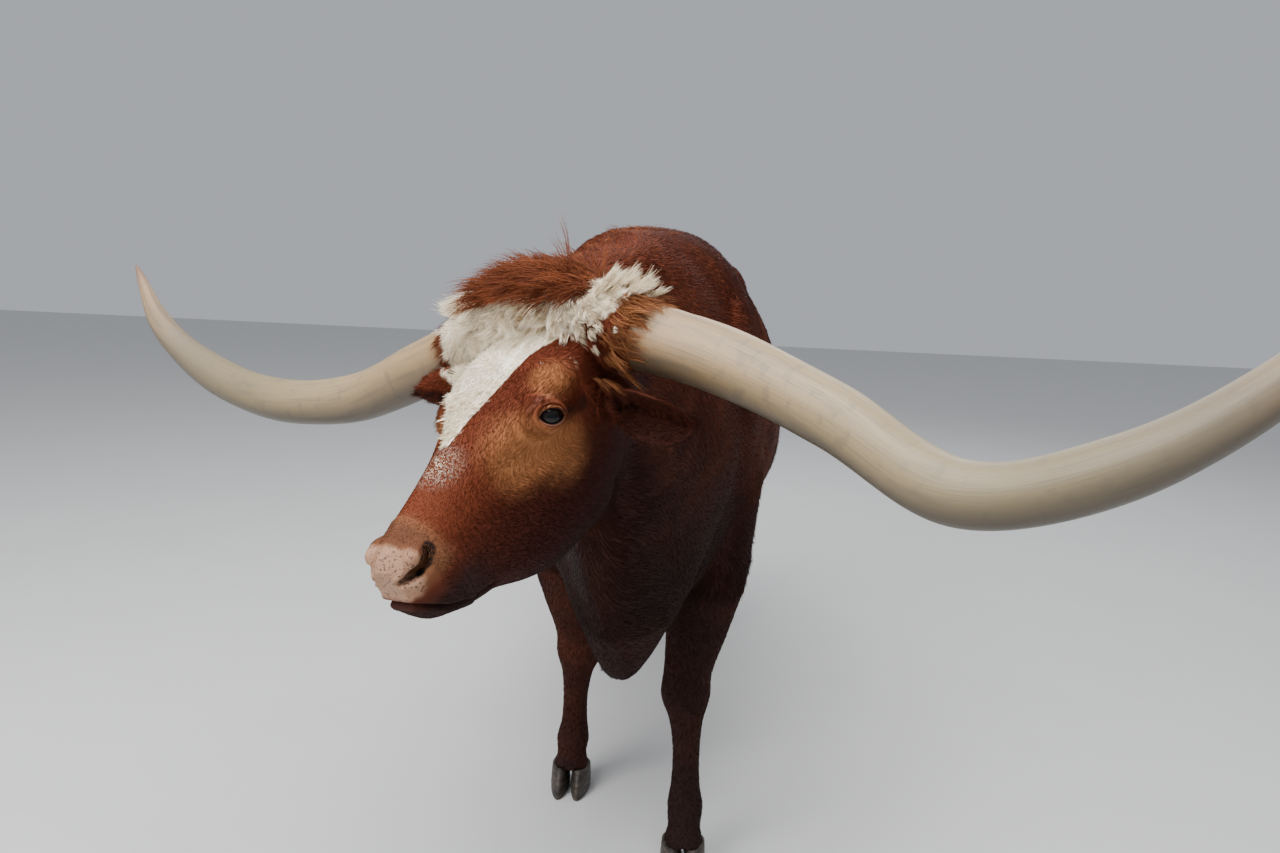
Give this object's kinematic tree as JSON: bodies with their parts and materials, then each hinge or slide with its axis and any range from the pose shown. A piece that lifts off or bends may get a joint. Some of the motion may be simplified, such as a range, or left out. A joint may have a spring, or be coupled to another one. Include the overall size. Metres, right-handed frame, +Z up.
{
  "type": "texas longhorn",
  "caption": "Life-size Texas longhorn steer in a mahogany-red coat, standing with its head lowered and turned to its right, with wide ivory horns.",
  "frame": {"origin": "the middle of the model's bounding box, on the floor under the soles", "axes": "+Z up, the body faces -Y and its left side is +X"},
  "size_m": [2.0356, 2.8168, 1.475],
  "materials": {
    "red_coat": "short mahogany-red hair, satin",
    "white_coat": "white and red-roan hair, matte",
    "long_hair": "long, loose red hair",
    "horn": "ivory keratin with fine grey lines along it, worn smooth",
    "hoof": "dark keratin, matte",
    "eye": "wet and dark, glossy"
  },
  "bodies": {
    "root": {"head": "red_coat", "poll": "white_coat", "neck": "red_coat", "horn_base_left": "long_hair", "horn_left": "horn", "ear_left": "red_coat", "eye_left": "eye", "horn_base_right": "long_hair", "horn_right": "horn", "ear_right": "red_coat", "eye_right": "eye", "foreleg_left": "red_coat", "claw_fore_left_inner": "hoof", "dewclaw_fore_left_inner": "hoof", "claw_fore_left_outer": "hoof", "dewclaw_fore_left_outer": "hoof", "foreleg_right": "red_coat", "claw_fore_right_inner": "hoof", "dewclaw_fore_right_inner": "hoof", "claw_fore_right_outer": "hoof", "dewclaw_fore_right_outer": "hoof", "hindleg_left": "red_coat", "claw_hind_left_inner": "hoof", "dewclaw_hind_left_inner": "hoof", "claw_hind_left_outer": "hoof", "dewclaw_hind_left_outer": "hoof", "hindleg_right": "red_coat", "claw_hind_right_inner": "hoof", "dewclaw_hind_right_inner": "hoof", "claw_hind_right_outer": "hoof", "dewclaw_hind_right_outer": "hoof", "torso": "red_coat", "tail_upper": "red_coat", "tail_middle": "red_coat", "tail_switch": "long_hair"}
  },
  "joints": []
}
